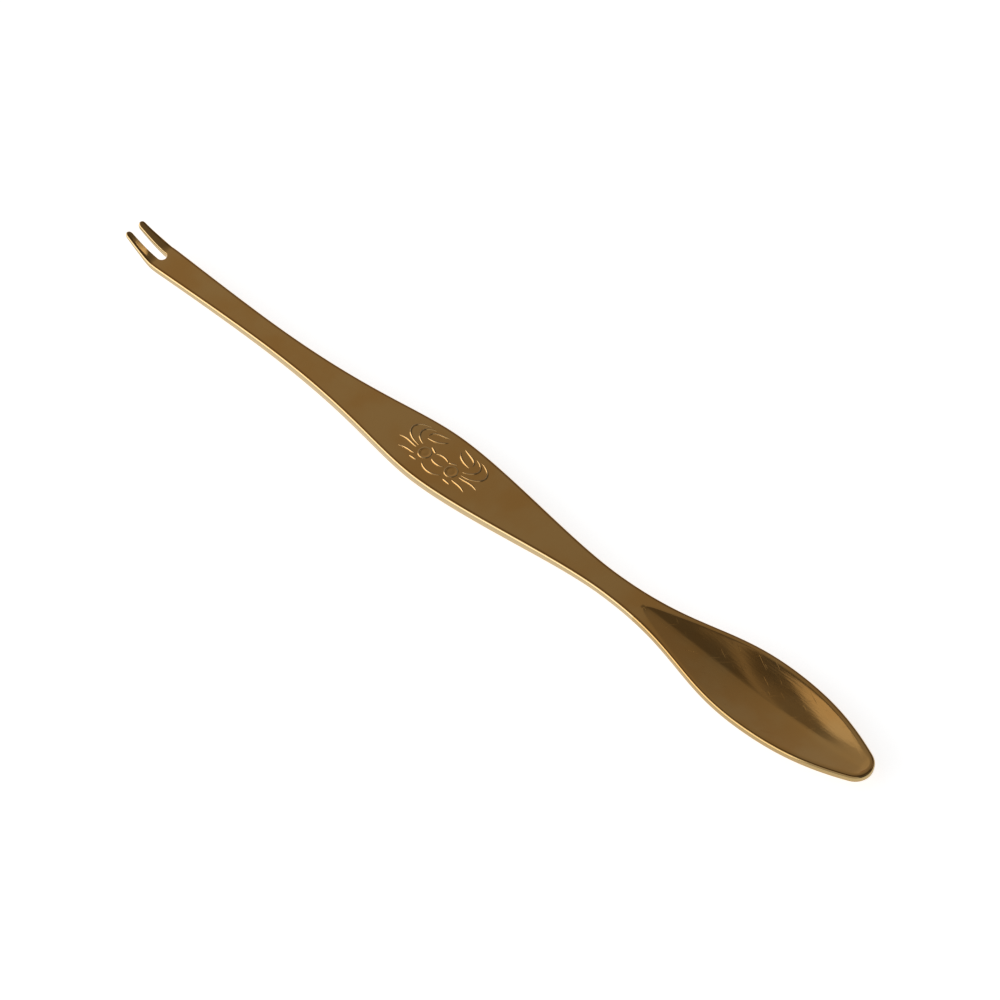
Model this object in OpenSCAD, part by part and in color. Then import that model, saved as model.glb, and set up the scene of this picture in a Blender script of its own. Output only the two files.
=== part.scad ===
// Crab fork with two tines at one end, a leaf-shaped handle and a small spoon at the other end.
// The real one is stamped from a single strip of metal: the nodes are the worked zones of that strip,
// which meet face to face, and the crab that stands up from the handle.
// Millimetres, +Z up. The tines point to -X and the spoon to +X. The fork's upper side is one level plane.
// The origin is the middle of the fork's bounding box, on the surface under the spoon's bowl.

/* [Lengths along the fork] */
// Tips of the tines to the root of the slot between them
tine_len = 9.2; // [7:0.1:12]
// Root of the slot to the narrowest place of the shank
shank_len = 28.5; // [22:0.1:36]
// Narrowest place of the shank to the widest place of the handle
handle_rise_len = 50.2; // [42:0.1:60]
// Widest place of the handle to the narrowest place of the neck
handle_fall_len = 45.4; // [38:0.1:54]
// Narrowest place of the neck to the start of the hollow
neck_len = 9.2; // [6:0.1:12]
// Start of the hollow to the widest place of the bowl
bowl_rise_len = 30.9; // [25:0.1:38]
// Widest place of the bowl to the start of its round tip
bowl_fall_len = 24.1; // [20:0.1:30]
// Length of the round tip of the bowl
bowl_tip_len = 2.5; // [2:0.1:3.5]

/* [Widths] */
// Width over the two tines at their tips
tip_spread_w = 5.5; // [5.2:0.1:6.2]
// Width over the two tines at the root of the slot
fork_w = 6.9; // [6.4:0.1:8]
// Width of the slot between the tines
slot_w = 2; // [1.8:0.1:2.4]
// Width of the shank at its narrowest place
shank_w = 5.7; // [4.5:0.1:6.2]
// Width of the handle at its widest place
handle_w = 14.2; // [12.5:0.1:17]
// Width of the neck at its narrowest place
neck_w = 5.7; // [4.5:0.1:6.5]
// Width of the bowl at its widest place
bowl_w = 17.4; // [14:0.1:20]
// Width of the bowl where its round tip starts
bowl_tip_w = 7.3; // [6:0.1:8]

/* [Thickness] */
// Thickness of the tines at their tips
tine_tip_t = 1; // [1:0.05:1.5]
// Thickness at the root of the slot
fork_t = 1.5; // [1.3:0.05:2]
// Thickness of the handle
handle_t = 2; // [1.7:0.05:2.5]
// Thickness of the neck and of the bowl's edge
neck_t = 1.6; // [1.3:0.05:1.9]
// Thickness of the bowl at its deepest place
bowl_wall = 1.4; // [1:0.05:1.8]
// Rounding of the edges
edge_r = 0.45; // [0.2:0.05:0.45]
// Metal ground off the handle's underside to make it flat
grind_depth = 0.05; // [0.03:0.01:0.1]

/* [Tines] */
// How far the tips of the tines stand above the shank
tine_rise = 3.2; // [0:0.1:4]

/* [Bowl] */
// Depth of the hollow below the rim
hollow_depth = 2.8; // [1.5:0.1:4]
// Width of the flat rim around the hollow
rim_w = 0.6; // [0.3:0.05:0.9]
// Length over which the hollow opens out of the neck
hollow_open_len = 12; // [8:0.5:16]

/* [Crab] */
// Width of the crab from arm to arm
crab_w = 20; // [18.5:0.1:21]
// Distance of the crab's middle from the widest place of the handle, towards the spoon
crab_shift = 0.4; // [-1:0.1:1]
// Width of the raised lines
ridge_w = 0.5; // [0.4:0.05:0.55]
// Height of the raised lines
ridge_h = 0.2; // [0.1:0.05:0.25]

/* [Hidden] */

metal_colour = "#8a6a3a";

// Places along the fork, from the tips of the tines
slot_root_x = tine_len;
waist_x = slot_root_x + shank_len;
belly_x = waist_x + handle_rise_len;
neck_x = belly_x + handle_fall_len;
hollow_x = neck_x + neck_len;
bowl_x = hollow_x + bowl_rise_len;
bowl_tip_x = bowl_x + bowl_fall_len;
overall_len = bowl_tip_x + bowl_tip_len;

// The tines start where the round root of the slot does
slot_r = slot_w / 2;
tine_root_x = slot_root_x - slot_r;
// Radius of the round end of each tine
tine_tip_r = (tip_spread_w / 2 - slot_r) / 2;
// How evenly the tines curve up: 1 is a straight slope from their root, 2 a parabola
tine_bend = 1.4;

// Height of the upper side over the surface that the bowl touches
upper_z = hollow_depth + bowl_wall;

// The handle has its full thickness between these two places
full_start_share = 0.35;
full_end_share = 0.4;
full_start_x = waist_x + full_start_share * handle_rise_len;
full_end_x = belly_x + full_end_share * handle_fall_len;
rough_t = handle_t + grind_depth;

// How far each stretch of the outline keeps its direction from its two ends, as shares of the stretch
tine_side_shares = [0.4, 0.3];
shank_side_shares = [0.05, 0.38];
handle_rise_shares = [0.57, 0.24];
handle_fall_shares = [0.3, 0.28];
bowl_rise_shares = [0.5, 0.38];
bowl_fall_shares = [0.42, 0.29];
bowl_tip_shares = [0.8, 0.29];
// Slope of the outline where the round tip of the bowl starts
bowl_tip_slope = -0.44;

// Distance of the hollow's lip from the bowl's outline
hollow_inset = edge_r + rim_w;
// How the depth of the hollow follows its width
hollow_power = 1.2;
// How round the hollow's section is: 1 is a plain V, 2 a parabola
hollow_round = 1.3;
// Width of the hollow's first, level station
hollow_start_share = 0.2;

// Stations and points that each zone is built from
shank_steps = 14;
handle_steps = 32;
neck_steps = 4;
hollow_open_steps = 10;
bowl_rise_steps = 11;
bowl_fall_steps = 10;
bowl_tip_steps = 6;
tine_steps = 10;
tine_round_steps = 5;
edge_steps = 3;
hollow_steps = 6;
ridge_steps = 8;
ridge_round_steps = 7;

// Cubic curve from p[0] to p[3]
function bezier(p, t) =
    let (s = 1 - t)
    s * s * s * p[0] + 3 * s * s * t * p[1] + 3 * s * t * t * p[2] + t * t * t * p[3];

// Direction of that curve
function bezier_way(p, t) =
    let (s = 1 - t)
    s * s * (p[1] - p[0]) + 2 * s * t * (p[2] - p[1]) + t * t * (p[3] - p[2]);

// Where that curve reaches x, found by halving
function bezier_find(p, x, low = 0, high = 1, tries = 24) =
    tries == 0
        ? (low + high) / 2
        : let (middle = (low + high) / 2)
          bezier(p, middle)[0] < x
              ? bezier_find(p, x, middle, high, tries - 1)
              : bezier_find(p, x, low, middle, tries - 1);

// Stretch of the outline between two places, level at both unless slopes are given
function stretch(start, end, shares, start_slope = 0, end_slope = 0) =
    let (run = end[0] - start[0])
    [
        start,
        start + shares[0] * run * [1, start_slope],
        end - shares[1] * run * [1, end_slope],
        end
    ];

// Half of the outline, as curves from the tines to the round tip of the bowl
outline = [
    stretch([tine_tip_r, tip_spread_w / 2], [slot_root_x, fork_w / 2], tine_side_shares,
        start_slope = (fork_w - tip_spread_w) / 2 / tine_len),
    stretch([slot_root_x, fork_w / 2], [waist_x, shank_w / 2], shank_side_shares),
    stretch([waist_x, shank_w / 2], [belly_x, handle_w / 2], handle_rise_shares),
    stretch([belly_x, handle_w / 2], [neck_x, neck_w / 2], handle_fall_shares),
    stretch([neck_x, neck_w / 2], [bowl_x, bowl_w / 2], bowl_rise_shares),
    stretch([bowl_x, bowl_w / 2], [bowl_tip_x, bowl_tip_w / 2], bowl_fall_shares, end_slope = bowl_tip_slope)
];

// The round tip leaves the flank with its slope and crosses the middle line square
bowl_tip_curve = [
    [bowl_tip_x, bowl_tip_w / 2],
    [bowl_tip_x, bowl_tip_w / 2] + bowl_tip_shares[0] * bowl_tip_len * [1, bowl_tip_slope],
    [overall_len, bowl_tip_shares[1] * bowl_tip_w / 2],
    [overall_len, 0]
];

// Half of the fork's width at x
function half_width(x) =
    let (found = [for (curve = outline) if (x <= curve[3][0]) curve])
    let (curve = len(found) > 0 ? found[0] : outline[len(outline) - 1])
    bezier(curve, bezier_find(curve, x))[1];

// Smooth rise from 0 at low to 1 at high
function ease(x, low, high) =
    let (u = max(0, min(1, (x - low) / (high - low))))
    u * u * (3 - 2 * u);

// Thickness of the metal at x, before the handle's underside is ground flat
function thickness(x) =
    x < slot_root_x
        ? tine_tip_t + (fork_t - tine_tip_t) * x / slot_root_x
        : x < belly_x
            ? fork_t + (rough_t - fork_t) * ease(x, slot_root_x, full_start_x)
            : rough_t + (neck_t - rough_t) * ease(x, full_end_x, neck_x);

// How far the tines have curved up at x
function rise(x) = tine_rise * pow(max(0, 1 - x / tine_root_x), tine_bend);

// Rounded edge at the outline point p, which faces along way, from the upper side to the underside.
// It ends short of level by lean degrees where the underside slopes away.
function edge(p, way, top, bottom, lean = 0, r = edge_r) =
    concat(
        [
            for (i = [0:edge_steps])
                let (a = 90 * (1 - i / edge_steps))
                [p[0] - way[0] * r * (1 - cos(a)), p[1] - way[1] * r * (1 - cos(a)), top - r * (1 - sin(a))]
        ],
        [
            for (i = [0:edge_steps])
                let (a = (90 - lean) * i / edge_steps)
                [p[0] - way[0] * r * (1 - cos(a)), p[1] - way[1] * r * (1 - cos(a)), bottom + r * (1 - sin(a))]
        ]
    );

// The same points on the other side of the fork, in the opposite order
function other_side(points) =
    [for (i = [len(points) - 1:-1:0]) [points[i][0], -points[i][1], points[i][2]]];

// Ring of points around the level metal at x
function flat_ring(x) =
    let (half = edge([x, half_width(x)], [0, 1], 0, -thickness(x)))
    concat(half, other_side(half));

// Stations of the bowl's outline: the place and the way that the edge faces.
// They lie closest where the hollow starts.
function rise_stations() =
    let (open_xs = [for (i = [0:hollow_open_steps]) hollow_x + pow(i / hollow_open_steps, 2) * hollow_open_len])
    let (rest_len = bowl_rise_len - hollow_open_len)
    let (rest_xs = [for (i = [1:bowl_rise_steps]) bowl_x - (1 - i / bowl_rise_steps) * rest_len])
    [for (x = concat(open_xs, rest_xs)) [[x, half_width(x)], [0, 1]]];

function curve_stations(curve, steps) =
    [
        for (i = [1:steps])
            let (way = bezier_way(curve, i / steps))
            [bezier(curve, i / steps), [-way[1], way[0]] / norm(way)]
    ];

// How far the hollow has opened at x, in a round from the neck
function hollow_open(x) =
    let (left = 1 - min(1, (x - hollow_x) / hollow_open_len))
    sqrt(1 - left * left);

// Ring of points around the bowl at a station: hollow, edge and underside, then the other side
function bowl_ring(station) =
    let (place = station[0])
    let (way = station[1])
    let (full = place[1] - way[1] * hollow_inset)
    let (half = full * max(hollow_start_share, hollow_open(place[0])))
    let (fill = full * hollow_open(place[0]) / (bowl_w / 2 - hollow_inset))
    let (depth = hollow_depth * pow(fill, hollow_power))
    let (bulge = depth * (hollow_depth + bowl_wall - neck_t) / hollow_depth)
    let (lip_x = place[0] - way[0] * hollow_inset)
    let (rim = edge(place, way, 0, -neck_t, atan(hollow_round * bulge / max(place[1], edge_r))))
    let (foot = rim[len(rim) - 1])
    let (low_z = -neck_t - bulge)
    let (side = concat(
        [
            for (i = [0:hollow_steps])
                let (s = (2 * i + 1) / (2 * hollow_steps + 1))
                [lip_x, half * s, -depth * (1 - pow(s, hollow_round))]
        ],
        rim,
        [
            for (i = [hollow_steps:-1:0])
                let (s = (2 * i + 1) / (2 * hollow_steps + 3))
                [foot[0], foot[1] * s, low_z + (foot[2] - low_z) * pow(s, hollow_round)]
        ]
    ))
    concat(side, other_side(side));

// Stations of a tine from its tip to its root: place, and the way that its outer edge faces
function tine_stations() =
    concat(
        [
            for (i = [tine_round_steps:-1:1])
                let (a = 90 * i / tine_round_steps)
                [tine_tip_r * (1 - sin(a)), [-sin(a), cos(a)]]
        ],
        [
            for (i = [0:tine_steps])
                [tine_tip_r + i / tine_steps * (tine_root_x - tine_tip_r), [0, 1]]
        ]
    );

// Ring of points around a tine on the +Y side, bent up from the level.
// The rounding of its inner edge runs out towards the slot's root.
function tine_ring(station) =
    let (x = station[0])
    let (way = station[1])
    let (outer_y = half_width(max(x, tine_tip_r)))
    let (middle_y = (outer_y + slot_r) / 2)
    let (half = (outer_y - slot_r) / 2 * way[1])
    let (inner_r = edge_r * min(1, (tine_root_x - x) / (tine_root_x - tine_tip_r)))
    let (outer = edge([x, middle_y + half], way, 0, -thickness(x)))
    let (inner = edge([x, middle_y - half], [way[0], -way[1]], 0, -thickness(x), r = inner_r))
    let (level = concat(outer, [for (i = [len(inner) - 1:-1:0]) inner[i]]))
    [for (p = level) [p[0], p[1], p[2] + rise(p[0])]];

// Solid through rings that run towards +X, each with as many points above as below on both of its sides.
// An end is left without a cap where its ring's two sides are one.
module loft(rings, capped_start = true, capped_end = true) {
    count = len(rings[0]);
    half = count / 2;
    last = (len(rings) - 1) * count;
    sides = [
        for (i = [0:len(rings) - 2], k = [0:count - 1])
            let (a = i * count + k)
            let (b = i * count + (k + 1) % count)
            each [[a, b, b + count], [a, b + count, a + count]]
    ];
    cap = concat(
        [[0, count - 1, half], [0, half, half - 1]],
        [
            for (k = [0:half / 2 - 2], side = [0, half])
                let (a = side + k)
                let (b = side + half - 1 - k)
                each [[a, b, b - 1], [a, b - 1, a + 1]]
        ]
    );
    start_cap = capped_start ? cap : [];
    end_cap = capped_end ? [for (face = cap) [last + face[2], last + face[1], last + face[0]]] : [];
    polyhedron(points = [for (ring = rings) each ring], faces = concat(sides, start_cap, end_cap));
}

// Puts what is drawn from the tips of the tines, below the upper side, into the fork's own frame
module placed() {
    translate([-overall_len / 2, 0, upper_z])
        children();
}

module flat_zone(start_x, end_x, steps) {
    loft([for (i = [0:steps]) flat_ring(start_x + i / steps * (end_x - start_x))]);
}

module left_tine() {
    color(metal_colour)
        placed()
            loft([for (station = tine_stations()) tine_ring(station)], capped_start = false);
}

module right_tine() {
    color(metal_colour)
        mirror([0, 1, 0])
            left_tine();
}

// The round root of the slot is cut into the shank's end
module fork_shank() {
    cut_over = slot_r;
    color(metal_colour)
        placed()
            difference() {
                flat_zone(tine_root_x, waist_x, shank_steps);
                translate([tine_root_x, 0, -fork_t - cut_over])
                    cylinder(r = slot_r, h = fork_t + 2 * cut_over, $fn = 48);
            }
}

// The underside is ground flat over the stretch that has the full thickness
module handle() {
    color(metal_colour)
        placed()
            difference() {
                flat_zone(waist_x, neck_x, handle_steps);
                translate([waist_x, -handle_w, -2 * handle_t])
                    cube([neck_x - waist_x, 2 * handle_w, handle_t]);
            }
}

module spoon_neck() {
    color(metal_colour)
        placed()
            flat_zone(neck_x, hollow_x, neck_steps);
}

module spoon_bowl() {
    flank = curve_stations(outline[len(outline) - 1], bowl_fall_steps);
    tip = curve_stations(bowl_tip_curve, bowl_tip_steps);
    color(metal_colour)
        placed()
            loft([for (station = concat(rise_stations(), flank, tip)) bowl_ring(station)], capped_end = false);
}

// Raised lines on one side of the crab, as cubic curves from the shell outwards. The places are shares of
// half the crab's width, across from its middle and up towards its claws.
side_line_shares = [
    // Arm, outer and inner line
    [[0.57, -0.035], [1.04, -0.01], [1.19, 0.37], [0.68, 0.475]],
    [[0.54, 0.045], [0.83, 0.13], [0.9, 0.39], [0.54, 0.47]],
    // Claw, upper and lower finger
    [[0.595, 0.27], [0.59, 0.45], [0.4, 0.44], [0.2, 0.505]],
    [[0.57, 0.215], [0.39, 0.23], [0.24, 0.29], [0.17, 0.41]],
    // Forehead
    [[0.35, 0.105], [0.29, 0.085], [0.23, 0.055], [0.185, 0.035]],
    // Three legs
    [[0.58, -0.1], [0.74, -0.095], [0.89, -0.03], [1.05, -0.11]],
    [[0.51, -0.245], [0.64, -0.26], [0.76, -0.23], [0.89, -0.315]],
    [[0.36, -0.34], [0.42, -0.35], [0.48, -0.34], [0.55, -0.36]]
];

// Raised lines across the middle of the shell: brow, back and tail
middle_line_shares = [
    [[-0.155, 0.035], [-0.08, 0.095], [0.08, 0.095], [0.155, 0.035]],
    [[-0.165, -0.105], [-0.1, -0.17], [0.1, -0.17], [0.165, -0.105]],
    [[-0.265, -0.295], [-0.13, -0.44], [0.13, -0.44], [0.265, -0.295]]
];

// Round lobe of the shell: its centre and radius
lobe_centre_share = [0.36, -0.095];
lobe_r_share = 0.135;

// A line thins out to this share of its width and height at both ends
line_end_share = 0.4;

// Ring of points around a raised line: the base on the handle and the round top
function ridge_ring(curve, t) =
    let (way = bezier_way(curve, t))
    let (across = [way[1], -way[0]] / norm(way))
    let (full = line_end_share + (1 - line_end_share) * sqrt(sin(180 * t)))
    let (place = bezier(curve, t))
    [
        for (i = [0:ridge_round_steps])
            let (a = 180 * i / ridge_round_steps)
            let (side = place + across * full * ridge_w / 2 * cos(a))
            [side[0], side[1], full * ridge_h * sin(a)]
    ];

module ridge(line_shares) {
    curve = crab_w / 2 * line_shares;
    loft([for (i = [0:ridge_steps]) ridge_ring(curve, i / ridge_steps)]);
}

// The ring's top is the round of a circle that passes through both edges of its base
module lobe_ring() {
    centre = crab_w / 2 * lobe_centre_share;
    round_r = (ridge_w * ridge_w / 4 + ridge_h * ridge_h) / (2 * ridge_h);
    translate([centre[0], centre[1], 0])
        rotate_extrude($fn = 48)
            translate([crab_w / 2 * lobe_r_share, 0])
                intersection() {
                    translate([0, ridge_h - round_r])
                        circle(r = round_r, $fn = 48);
                    translate([-ridge_w, 0])
                        square([2 * ridge_w, 2 * ridge_h]);
                }
}

// The crab lies across the handle, with its claws towards +Y
module crab_emblem() {
    color(metal_colour)
        placed()
            translate([belly_x + crab_shift, 0, 0]) {
                for (line = middle_line_shares)
                    ridge(line);
                for (side = [0, 1])
                    mirror([side, 0, 0]) {
                        for (line = side_line_shares)
                            ridge(line);
                        lobe_ring();
                    }
            }
}

left_tine();
right_tine();
fork_shank();
handle();
crab_emblem();
spoon_neck();
spoon_bowl();
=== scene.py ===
"""Dresses the crab fork: a gold-brown strip with two tines, a raised crab on its handle and a spoon.

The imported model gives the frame, in metres: +X runs to the spoon, and +Z points out of its hollow. Shapes are
worked out in millimetres from the tips of the tines, with the level upper side at zero, and then placed.
"""

import logging
import math
from dataclasses import dataclass
from enum import Enum
from typing import Sequence

import bmesh
import bpy
from mathutils import Matrix, Vector


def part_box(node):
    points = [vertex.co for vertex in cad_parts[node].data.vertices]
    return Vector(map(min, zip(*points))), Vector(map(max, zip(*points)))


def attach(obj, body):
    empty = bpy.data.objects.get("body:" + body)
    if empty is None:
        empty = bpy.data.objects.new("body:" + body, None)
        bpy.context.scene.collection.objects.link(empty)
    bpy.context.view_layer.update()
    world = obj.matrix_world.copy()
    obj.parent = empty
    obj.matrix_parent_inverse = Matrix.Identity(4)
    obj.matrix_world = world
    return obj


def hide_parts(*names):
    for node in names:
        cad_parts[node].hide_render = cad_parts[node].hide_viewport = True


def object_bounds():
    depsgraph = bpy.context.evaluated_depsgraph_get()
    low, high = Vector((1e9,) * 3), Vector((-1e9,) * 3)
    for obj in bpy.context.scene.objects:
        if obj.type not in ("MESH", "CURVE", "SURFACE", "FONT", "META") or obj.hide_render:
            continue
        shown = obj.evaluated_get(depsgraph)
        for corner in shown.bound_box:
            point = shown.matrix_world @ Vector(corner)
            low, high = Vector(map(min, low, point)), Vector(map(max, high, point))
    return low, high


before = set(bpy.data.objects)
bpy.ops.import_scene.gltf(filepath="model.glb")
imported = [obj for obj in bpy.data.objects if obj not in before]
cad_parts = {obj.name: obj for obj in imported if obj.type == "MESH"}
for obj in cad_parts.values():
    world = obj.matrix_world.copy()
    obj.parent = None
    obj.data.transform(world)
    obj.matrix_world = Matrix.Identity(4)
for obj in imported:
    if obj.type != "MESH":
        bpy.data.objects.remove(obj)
CAD_BOX = [list(corner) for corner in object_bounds()]

LOG = logging.getLogger("crab_fork")
MM = 0.001
ROOT_BODY = "root"
MERGE_MM = 0.0005
HALVINGS = 30
GRID_HALF = 0.5
QUAD_CORNERS = 4
ZONE_LAYER = "zone"
EDGE_LAYER = "edge"
EDGE_START = 0.2
NORMAL_LAYER = "skin_normal"


class Zone(Enum):
    """Worked zones of the strip, in order along the fork. The value is the place in that order."""

    TINES = 0
    SHANK = 1
    HANDLE = 2
    NECK = 3
    BOWL = 4


def smooth_step(value: float, low: float, high: float) -> float:
    """Smooth rise from 0 at low to 1 at high."""
    share = max(0.0, min(1.0, (value - low) / (high - low)))
    return share * share * (3.0 - 2.0 * share)


def side_way(direction: Vector) -> Vector:
    """Unit direction to the left of a direction in plan."""
    return Vector((-direction.y, direction.x)).normalized()


def quarter_turns(count: int) -> list[float]:
    """Angles from 0 to one step short of a quarter turn, in equal steps."""
    return [math.radians(90 * i / count) for i in range(count)]


@dataclass(frozen=True)
class Curve:
    """Cubic curve in plan, from its first point to its last."""

    points: tuple[Vector, Vector, Vector, Vector]

    @classmethod
    def stretch(
        cls,
        start: tuple[float, float],
        end: tuple[float, float],
        keeps: tuple[float, float],
        slopes: tuple[float, float] = (0.0, 0.0),
    ) -> "Curve":
        """Makes a stretch of the outline that leaves and meets its ends at given slopes.

        Args:
            start: First point.
            end: Last point.
            keeps: How far the stretch keeps its direction from each end, as shares of its length.
            slopes: Slope at each end.

        Returns:
            The curve.
        """
        run = end[0] - start[0]
        first, last = Vector(start), Vector(end)
        leave = Vector((1.0, slopes[0])) * keeps[0] * run
        arrive = Vector((1.0, slopes[1])) * keeps[1] * run
        return cls((first, first + leave, last - arrive, last))

    def at(self, t: float) -> Vector:
        """Point at t, from 0 to 1."""
        s = 1.0 - t
        a, b, c, d = self.points
        return s * s * s * a + 3 * s * s * t * b + 3 * s * t * t * c + t * t * t * d

    def way(self, t: float) -> Vector:
        """Unit direction of travel at t."""
        s = 1.0 - t
        a, b, c, d = self.points
        return (s * s * (b - a) + 2 * s * t * (c - b) + t * t * (d - c)).normalized()

    def find(self, x: float) -> float:
        """Value of t at which the curve reaches x, found by halving."""
        low, high = 0.0, 1.0
        for _ in range(HALVINGS):
            middle = (low + high) / 2
            if self.at(middle).x < x:
                low = middle
            else:
                high = middle
        return (low + high) / 2


@dataclass
class ForkSizes:
    """Sizes of the fork in millimetres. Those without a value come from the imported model."""

    tine_root_x: float
    waist_x: float
    neck_x: float
    hollow_x: float
    overall_len: float
    upper_z: float
    handle_w: float
    bowl_w: float
    slot_w: float = 2.0
    tip_spread_w: float = 5.5
    fork_w: float = 6.9
    shank_w: float = 5.7
    neck_w: float = 5.7
    bowl_tip_w: float = 7.3
    belly_len: float = 50.2
    bowl_rise_len: float = 30.9
    bowl_tip_len: float = 2.5
    tine_tip_t: float = 1.0
    fork_t: float = 1.5
    handle_t: float = 2.0
    neck_t: float = 1.6
    bowl_wall: float = 1.4
    edge_r: float = 0.35
    slot_edge_r: float = 0.2
    edge_drop_share: float = 1.3
    least_wall: float = 0.05
    edge_round: float = 1.4
    tine_rise: float = 3.2
    tine_bend: float = 1.4
    tine_roll_deg: float = 8.0
    rim_w: float = 0.7
    hollow_open_len: float = 12.0
    hollow_power: float = 1.2
    hollow_round: float = 1.3
    hollow_start_share: float = 0.2
    lip_soft: float = 0.1
    # Width over which the painted shade line fades in on the upper side before each edge.
    shade_line_w: float = 0.55

    @classmethod
    def from_frame(cls) -> "ForkSizes":
        """Sizes whose places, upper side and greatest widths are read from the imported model's boxes."""
        low, high = CAD_BOX
        shank, handle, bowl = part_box("fork_shank"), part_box("handle"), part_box("spoon_bowl")
        start = low[0]
        return cls(
            tine_root_x=(shank[0].x - start) / MM,
            waist_x=(handle[0].x - start) / MM,
            neck_x=(handle[1].x - start) / MM,
            hollow_x=(bowl[0].x - start) / MM,
            overall_len=(high[0] - start) / MM,
            upper_z=handle[1].z / MM,
            handle_w=(handle[1].y - handle[0].y) / MM,
            bowl_w=(bowl[1].y - bowl[0].y) / MM,
        )

    @property
    def slot_r(self) -> float:
        """Radius of the slot's round root, half of its width."""
        return self.slot_w / 2

    @property
    def tine_tip_r(self) -> float:
        """Radius of the round end of a tine."""
        return (self.tip_spread_w / 2 - self.slot_r) / 2

    @property
    def tine_middle_y(self) -> float:
        """Place across the fork of the middle of a tine's round end."""
        return (self.tip_spread_w / 2 + self.slot_r) / 2

    @property
    def slot_root_x(self) -> float:
        """Place of the slot's root."""
        return self.tine_root_x + self.slot_r

    @property
    def belly_x(self) -> float:
        """Place where the handle is widest."""
        return self.waist_x + self.belly_len

    @property
    def bowl_x(self) -> float:
        """Place where the bowl is widest."""
        return self.hollow_x + self.bowl_rise_len

    @property
    def bowl_tip_x(self) -> float:
        """Place where the bowl's round tip starts."""
        return self.overall_len - self.bowl_tip_len

    @property
    def hollow_inset(self) -> float:
        """Distance of the hollow's lip from the outline."""
        return self.edge_r + self.rim_w

    @property
    def hollow_depth(self) -> float:
        """Depth of the hollow below the rim."""
        return self.upper_z - self.bowl_wall


@dataclass
class Station:
    """One row of points across half of the fork, from the inside to its edge.

    Attributes:
        centre: Innermost point of the upper side, in plan.
        lip: Where the hollow ends, or would.
        edge: Point of the outline.
        way: Direction in which the edge faces.
        thick: Thickness of the metal at the edge.
        depth: Depth of the hollow.
        bulge: How far the underside swells below the edge's.
        zone: Zone that the strip from this station to the next belongs to.
    """

    centre: Vector
    lip: Vector
    edge: Vector
    way: Vector
    thick: float
    zone: Zone
    depth: float = 0.0
    bulge: float = 0.0


@dataclass
class Outline:
    """Half of the fork's outline as curves, with the metal's thickness and the rise of the tines along it."""

    sizes: ForkSizes
    tine_keeps: tuple[float, float] = (0.4, 0.3)
    shank_keeps: tuple[float, float] = (0.05, 0.38)
    handle_rise_keeps: tuple[float, float] = (0.57, 0.24)
    handle_fall_keeps: tuple[float, float] = (0.3, 0.28)
    bowl_rise_keeps: tuple[float, float] = (0.5, 0.38)
    bowl_fall_keeps: tuple[float, float] = (0.42, 0.29)
    bowl_tip_keeps: tuple[float, float] = (0.8, 0.29)
    bowl_tip_slope: float = -0.44
    full_start_share: float = 0.35
    full_end_share: float = 0.4
    full_roll_share: float = 0.5

    def flanks(self) -> list[Curve]:
        """Curves from the tines' tips to the start of the bowl's round tip."""
        s = self.sizes
        tip = (s.tine_tip_r, s.tip_spread_w / 2)
        root = (s.slot_root_x, s.fork_w / 2)
        waist = (s.waist_x, s.shank_w / 2)
        belly = (s.belly_x, s.handle_w / 2)
        neck = (s.neck_x, s.neck_w / 2)
        bowl = (s.bowl_x, s.bowl_w / 2)
        bowl_tip = (s.bowl_tip_x, s.bowl_tip_w / 2)
        spread = (s.fork_w - s.tip_spread_w) / 2 / s.slot_root_x
        return [
            Curve.stretch(tip, root, self.tine_keeps, (spread, 0.0)),
            Curve.stretch(root, waist, self.shank_keeps),
            Curve.stretch(waist, belly, self.handle_rise_keeps),
            Curve.stretch(belly, neck, self.handle_fall_keeps),
            Curve.stretch(neck, bowl, self.bowl_rise_keeps),
            Curve.stretch(bowl, bowl_tip, self.bowl_fall_keeps, (0.0, self.bowl_tip_slope)),
        ]

    def tip_curve(self) -> Curve:
        """Round tip of the bowl, which crosses the middle line square."""
        s = self.sizes
        start = Vector((s.bowl_tip_x, s.bowl_tip_w / 2))
        leave = Vector((1.0, self.bowl_tip_slope)) * self.bowl_tip_keeps[0] * s.bowl_tip_len
        corner = Vector((s.overall_len, self.bowl_tip_keeps[1] * s.bowl_tip_w / 2))
        return Curve((start, start + leave, corner, Vector((s.overall_len, 0.0))))

    def at(self, x: float) -> tuple[Vector, Vector]:
        """Point of the outline at x, and the direction in which its edge faces."""
        curves = self.flanks()
        found = next((c for c in curves if x <= c.points[3].x), curves[-1])
        t = found.find(x)
        return found.at(t), side_way(found.way(t))

    def thickness(self, x: float) -> float:
        """Thickness of the metal at x."""
        s = self.sizes
        if x < s.slot_root_x:
            return s.tine_tip_t + (s.fork_t - s.tine_tip_t) * x / s.slot_root_x
        full_start = s.waist_x + self.full_start_share * s.belly_len
        full_end = s.belly_x + self.full_end_share * (s.neck_x - s.belly_x)
        if x < s.belly_x:
            return s.fork_t + (s.handle_t - s.fork_t) * smooth_step(x, s.slot_root_x, full_start)
        return s.handle_t + (s.neck_t - s.handle_t) * smooth_step(x, full_end, s.neck_x)

    def rise(self, x: float, y: float) -> float:
        """How far a tine on the +Y side has curved up at a point. Its upper face leans towards the slot."""
        s = self.sizes
        left = max(0.0, 1.0 - x / s.tine_root_x)
        roll = math.tan(math.radians(s.tine_roll_deg)) * smooth_step(left, 0.0, self.full_roll_share)
        return s.tine_rise * left**s.tine_bend + roll * (y - s.tine_middle_y)


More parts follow.
